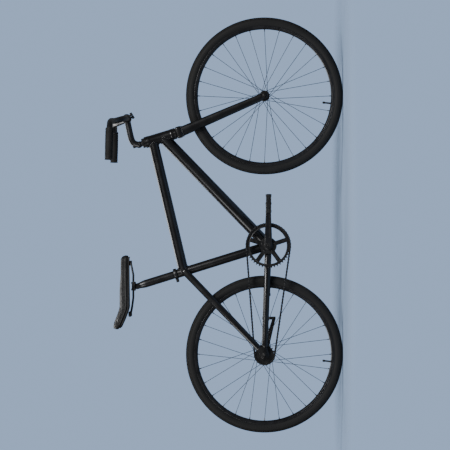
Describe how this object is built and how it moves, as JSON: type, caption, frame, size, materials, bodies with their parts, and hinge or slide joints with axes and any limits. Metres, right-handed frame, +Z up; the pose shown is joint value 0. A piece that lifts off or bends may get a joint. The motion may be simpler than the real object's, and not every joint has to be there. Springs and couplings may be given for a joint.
{
  "type": "city bicycle",
  "caption": "Single-speed city bicycle with diamond frame, swept-back handlebar, padded saddle, chain drive and back-pedal hub brake, on wire-spoked wheels.",
  "frame": {"origin": "on the ground, on the wheels' middle plane, halfway between the tyres' front and rear ends", "axes": "+X is the way the bicycle rides, +Y is the rider's left, +Z is up"},
  "size_m": [1.689, 0.6, 0.9593],
  "materials": {
    "frame_paint": "satin",
    "black_alloy": "satin",
    "black_steel": "satin",
    "chain_steel": "satin",
    "grip_rubber": "matte",
    "tyre_rubber": "matte",
    "saddle_vinyl": "satin",
    "black_plastic": "matte"
  },
  "bodies": {
    "frame": {"head_tube": "frame_paint", "top_tube": "frame_paint", "down_tube": "frame_paint", "seat_tube": "frame_paint", "bottom_bracket_shell": "frame_paint", "chain_stay_left": "frame_paint", "chain_stay_right": "frame_paint", "seat_stay_left": "frame_paint", "seat_stay_right": "frame_paint", "dropout_left": "frame_paint", "dropout_right": "frame_paint", "chain_stay_bridge": "frame_paint", "headset_lower_cup": "black_steel", "headset_upper_cup": "black_steel", "headset_lower_bearing": "black_steel", "headset_upper_bearing": "black_steel", "bottom_bracket_cup_left": "black_steel", "bottom_bracket_cup_right": "black_steel", "seat_post_collar": "black_alloy", "rear_axle": "black_steel", "rear_axle_nut_left": "black_steel", "rear_axle_nut_right": "black_steel", "coaster_brake_arm": "black_steel", "chain": "chain_steel"},
    "fork": {"fork_steerer": "black_steel", "fork_crown": "frame_paint", "fork_blade_left": "frame_paint", "fork_blade_right": "frame_paint", "headset_locknut": "black_steel", "front_axle": "black_steel", "front_axle_nut_left": "black_steel", "front_axle_nut_right": "black_steel"},
    "stem": {"stem": "black_alloy"},
    "handlebar": {"handlebar": "black_alloy", "grip_left": "grip_rubber", "grip_right": "grip_rubber"},
    "seat_post": {"seat_post": "black_alloy"},
    "saddle_cradle": {"saddle_clamp": "black_alloy"},
    "saddle": {"saddle_rails": "black_steel", "saddle_base": "black_plastic", "saddle_cover": "saddle_vinyl"},
    "front_wheel": {"front_hub_shell": "black_alloy", "front_spokes_left": "black_steel", "front_spokes_right": "black_steel", "front_rim": "black_alloy", "front_tyre": "tyre_rubber"},
    "rear_wheel": {"rear_hub_shell": "black_steel", "rear_spokes_left": "black_steel", "rear_spokes_right": "black_steel", "rear_rim": "black_alloy", "rear_tyre": "tyre_rubber"},
    "sprocket": {"rear_sprocket": "black_steel"},
    "crank": {"crank_spindle": "black_steel", "crank_arm_left": "black_alloy", "crank_arm_right": "black_alloy", "chainring": "black_steel", "pedal_spindle_left": "black_steel", "pedal_spindle_right": "black_steel"},
    "pedal_left": {"pedal_left": "black_plastic"},
    "pedal_right": {"pedal_right": "black_plastic"}
  },
  "joints": [
    {"name": "steering", "type": "hinge", "parent": "frame", "child": "fork", "pos_m": [0.48675, 0, 0.30781], "axis": [-0.2924, 0, 0.9563], "continuous": true},
    {"name": "front_wheel_spin", "type": "hinge", "parent": "fork", "child": "front_wheel", "pos_m": [0.525, 0, 0.3195], "axis": [0, 1, 0], "continuous": true},
    {"name": "rear_wheel_spin", "type": "hinge", "parent": "frame", "child": "rear_wheel", "pos_m": [-0.525, 0, 0.3195], "axis": [0, 1, 0], "continuous": true},
    {"name": "crank_spin", "type": "hinge", "parent": "frame", "child": "crank", "pos_m": [-0.08345, 0, 0.3045], "axis": [0, 1, 0], "continuous": true},
    {"name": "sprocket_spin", "type": "hinge", "parent": "frame", "child": "sprocket", "pos_m": [-0.525, -0.047, 0.3195], "axis": [0, 1, 0], "continuous": true},
    {"name": "pedal_left_spin", "type": "hinge", "parent": "crank", "child": "pedal_left", "pos_m": [-0.25345, 0.1225, 0.3045], "axis": [0, 1, 0], "continuous": true},
    {"name": "pedal_right_spin", "type": "hinge", "parent": "crank", "child": "pedal_right", "pos_m": [0.08655, -0.1225, 0.3045], "axis": [0, 1, 0], "continuous": true},
    {"name": "stem_height", "type": "slide", "parent": "fork", "child": "stem", "axis": [-0.2924, 0, 0.9563], "range_m": [-0.003, 0.03]},
    {"name": "handlebar_roll", "type": "hinge", "parent": "stem", "child": "handlebar", "pos_m": [0.43204, 0, 0.87907], "axis": [0, 1, 0], "range_deg": [-25, 25]},
    {"name": "seat_height", "type": "slide", "parent": "frame", "child": "seat_post", "axis": [-0.2974, 0, 0.9548], "range_m": [-0.12, 0.06]},
    {"name": "saddle_tilt", "type": "hinge", "parent": "seat_post", "child": "saddle_cradle", "pos_m": [-0.24894, 0, 0.83582], "axis": [0, 1, 0], "range_deg": [-10, 10]},
    {"name": "saddle_fore_aft", "type": "slide", "parent": "saddle_cradle", "child": "saddle", "axis": [1, 0, 0], "range_m": [-0.015, 0.015]}
  ],
  "couplings": [
    {"joint": "sprocket_spin", "follows": "crank_spin", "ratio": 2.2}
  ]
}
